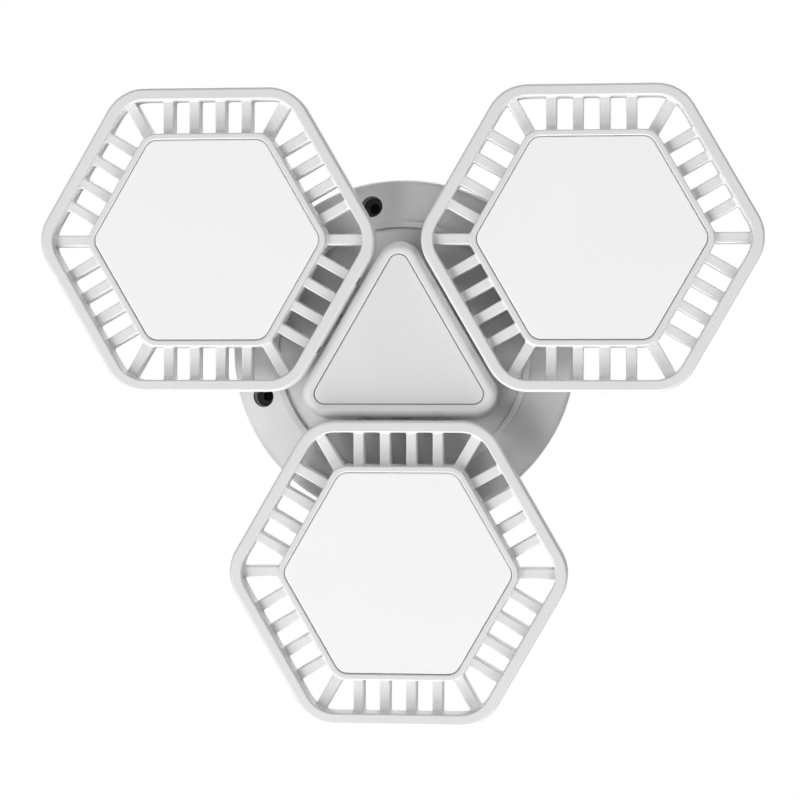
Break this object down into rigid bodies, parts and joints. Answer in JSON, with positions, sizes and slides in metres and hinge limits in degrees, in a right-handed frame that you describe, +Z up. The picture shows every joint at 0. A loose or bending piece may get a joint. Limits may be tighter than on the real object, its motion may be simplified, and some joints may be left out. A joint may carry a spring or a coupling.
{
  "type": "three-head folding surface lamp",
  "caption": "Round canopy with a raised triangular hub and hexagonal lamp heads, each hinged at the hub and folding forward from the wall.",
  "frame": {"origin": "middle of the canopy's back face, on the wall", "axes": "+Y into the wall, -Y the way the lamp faces, +Z up, +X to the viewer's right; the hub's point is up"},
  "size_m": [0.273, 0.034, 0.2408],
  "materials": {
    "shell_plastic": "white satin moulding",
    "lens_plastic": "opal white diffuser, fine satin front",
    "seal_foam": "dark closed-cell foam",
    "grommet_rubber": "black rubber",
    "plate_steel": "zinc-plated sheet",
    "screw_steel": "zinc-plated",
    "pin_steel": "drawn steel rod",
    "cover_aluminium": "cast, white powder coat",
    "circuit_board": "green solder mask",
    "led_board_mask": "white solder mask on metal core",
    "led_phosphor": "yellow phosphor under clear resin",
    "capacitor_sleeve": "shrink sleeve",
    "transformer_tape": "yellow polyester tape",
    "chip_resin": "black moulded resin",
    "terminal_plastic": "green polyamide"
  },
  "bodies": {
    "base": {"base_canopy": "shell_plastic", "wall_seal": "seal_foam", "rear_plate": "plate_steel", "rear_plate_screws": "screw_steel", "inlet_grommet": "grommet_rubber", "hub_body": "shell_plastic", "hub_panel": "shell_plastic", "hub_screws": "screw_steel", "driver_board": "circuit_board", "driver_capacitors": "capacitor_sleeve", "driver_transformer": "transformer_tape", "driver_chips": "chip_resin", "terminal_block": "terminal_plastic", "board_screws": "screw_steel", "lead_grommets": "grommet_rubber"},
    "left_head": {"left_frame": "shell_plastic", "left_lens": "lens_plastic", "left_lens_seal": "seal_foam", "left_led_board": "led_board_mask", "left_leds": "led_phosphor", "left_back_cover": "cover_aluminium", "left_cover_screws": "screw_steel", "left_lead_grommet": "grommet_rubber", "left_hinge_pin": "pin_steel"},
    "right_head": {"right_frame": "shell_plastic", "right_lens": "lens_plastic", "right_lens_seal": "seal_foam", "right_led_board": "led_board_mask", "right_leds": "led_phosphor", "right_back_cover": "cover_aluminium", "right_cover_screws": "screw_steel", "right_lead_grommet": "grommet_rubber", "right_hinge_pin": "pin_steel"},
    "bottom_head": {"bottom_frame": "shell_plastic", "bottom_lens": "lens_plastic", "bottom_lens_seal": "seal_foam", "bottom_led_board": "led_board_mask", "bottom_leds": "led_phosphor", "bottom_back_cover": "cover_aluminium", "bottom_cover_screws": "screw_steel", "bottom_lead_grommet": "grommet_rubber", "bottom_hinge_pin": "pin_steel"}
  },
  "joints": [
    {"name": "left_hinge", "type": "hinge", "parent": "base", "child": "left_head", "pos_m": [-0.02477, -0.03, 0.0143], "axis": [0.5, 0, 0.866], "range_deg": [0, 75]},
    {"name": "right_hinge", "type": "hinge", "parent": "base", "child": "right_head", "pos_m": [0.02477, -0.03, 0.0143], "axis": [0.5, 0, -0.866], "range_deg": [0, 75]},
    {"name": "bottom_hinge", "type": "hinge", "parent": "base", "child": "bottom_head", "pos_m": [0, -0.03, -0.0286], "axis": [-1, 0, 0], "range_deg": [0, 75]}
  ]
}
